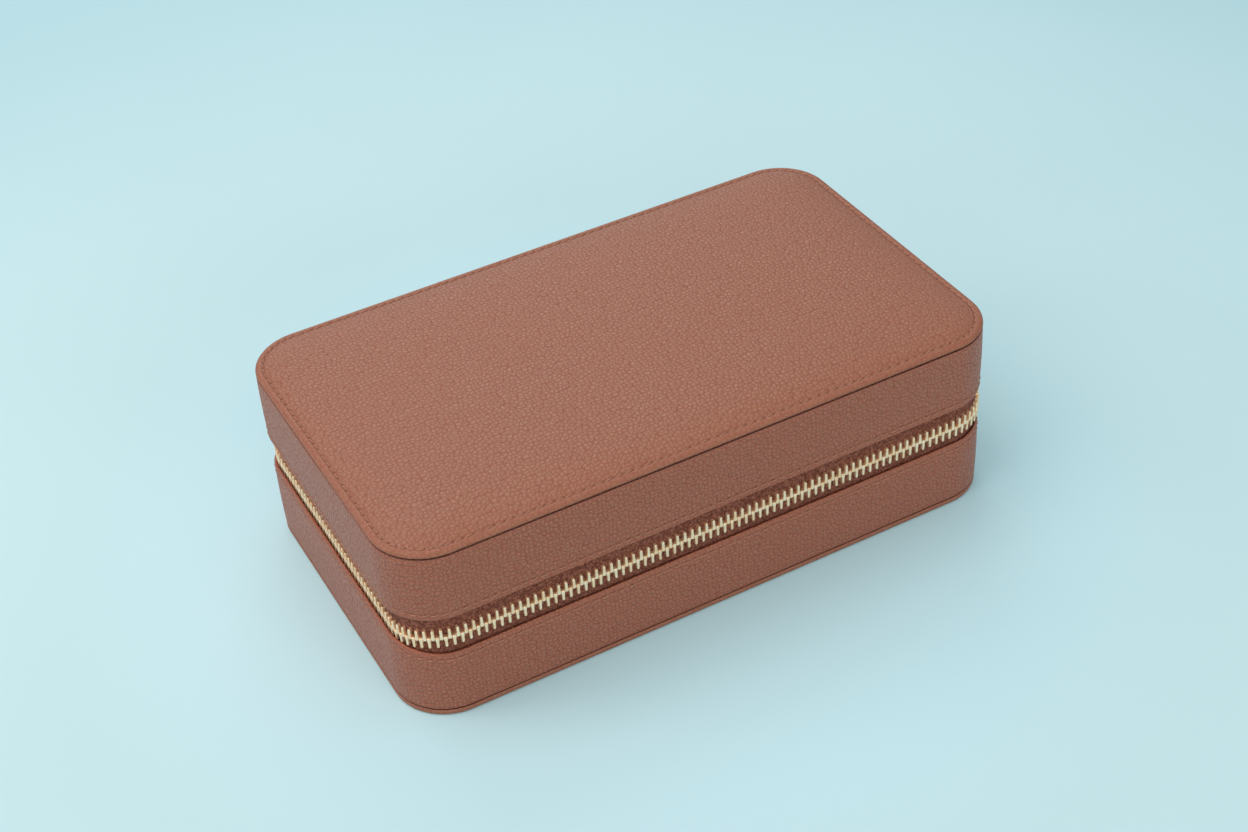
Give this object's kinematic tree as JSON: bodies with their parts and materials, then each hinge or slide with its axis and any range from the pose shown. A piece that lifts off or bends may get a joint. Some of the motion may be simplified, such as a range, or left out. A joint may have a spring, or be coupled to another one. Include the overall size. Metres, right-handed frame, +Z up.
{
  "type": "jewellery case",
  "caption": "Zip-around leather jewellery case: a stiffened base and lid joined by a leather hinge strip, with ring rolls, compartments and a lined lid",
  "frame": {"origin": "middle of the flat underside, where the case stands on a table", "axes": "+X along the long side, towards the side with the zip's sliders; +Y towards the hinge; +Z up, from the base to the lid"},
  "size_m": [0.2058, 0.117, 0.062],
  "materials": {
    "leather": "pebbled, satin",
    "strap_leather": "smooth, satin",
    "foam": "matt foam",
    "board": "matt grey board",
    "lining": "brushed suede cloth",
    "ring_pad": "brushed suede cloth over foam",
    "zip_tape": "woven tape",
    "zip_metal": "polished pale gold"
  },
  "bodies": {
    "base": {"bottom_panel": "leather", "bottom_board": "board", "base_wall_leather": "leather", "base_wall_board": "board", "base_lining_wall": "lining", "base_lining_floor": "lining", "base_zip_tape": "zip_tape", "base_zip_teeth": "zip_metal", "hinge_strip": "leather", "ring_divider": "lining", "long_divider": "lining", "cross_divider": "lining", "ring_roll_1": "ring_pad", "ring_roll_2": "ring_pad", "ring_roll_3": "ring_pad", "ring_roll_4": "ring_pad", "ring_roll_5": "ring_pad", "ring_roll_6": "ring_pad", "ring_roll_7": "ring_pad"},
    "lid": {"top_panel": "leather", "top_padding": "foam", "top_board": "board", "lid_wall_leather": "leather", "lid_wall_board": "board", "lid_lining_wall": "lining", "lid_lining_ceiling": "lining", "lid_zip_tape": "zip_tape", "lid_zip_teeth": "zip_metal", "lid_pocket": "lining", "tab_welt": "strap_leather", "snap_socket_1": "zip_metal", "snap_socket_2": "zip_metal", "snap_socket_3": "zip_metal"},
    "front_zip_slider": {"front_slider": "zip_metal"},
    "rear_zip_slider": {"rear_slider": "zip_metal"},
    "front_zip_pull": {"front_pull": "strap_leather"},
    "rear_zip_pull": {"rear_pull": "strap_leather"},
    "tab_1": {"necklace_tab_1": "strap_leather", "snap_cap_1": "zip_metal"},
    "tab_2": {"necklace_tab_2": "strap_leather", "snap_cap_2": "zip_metal"},
    "tab_3": {"necklace_tab_3": "strap_leather", "snap_cap_3": "zip_metal"}
  },
  "joints": [
    {"name": "lid_hinge", "type": "hinge", "parent": "base", "child": "lid", "pos_m": [0, 0.0588, 0.031], "axis": [-1, 0, 0], "range_deg": [0, 180], "deforming": ["hinge_strip"]},
    {"name": "front_slider_run", "type": "slide", "parent": "base", "child": "front_zip_slider", "axis": [0, -1, 0], "range_m": [0, 0.028], "deforming": ["base_zip_teeth"]},
    {"name": "rear_slider_run", "type": "slide", "parent": "base", "child": "rear_zip_slider", "axis": [0, 1, 0], "range_m": [0, 0.028], "deforming": ["lid_zip_teeth"]},
    {"name": "front_pull_swing", "type": "hinge", "parent": "front_zip_slider", "child": "front_zip_pull", "pos_m": [0.1038, -0.0062, 0.0305], "axis": [0, -1, 0], "range_deg": [0, 150]},
    {"name": "rear_pull_swing", "type": "hinge", "parent": "rear_zip_slider", "child": "rear_zip_pull", "pos_m": [0.1038, 0.0062, 0.0305], "axis": [0, -1, 0], "range_deg": [0, 150]},
    {"name": "tab_1_fold", "type": "hinge", "parent": "lid", "child": "tab_1", "pos_m": [-0.055, -0.044, 0.0521], "axis": [-1, 0, 0], "range_deg": [0, 90]},
    {"name": "tab_2_fold", "type": "hinge", "parent": "lid", "child": "tab_2", "pos_m": [0, -0.044, 0.0521], "axis": [-1, 0, 0], "range_deg": [0, 90]},
    {"name": "tab_3_fold", "type": "hinge", "parent": "lid", "child": "tab_3", "pos_m": [0.055, -0.044, 0.0521], "axis": [-1, 0, 0], "range_deg": [0, 90]}
  ]
}
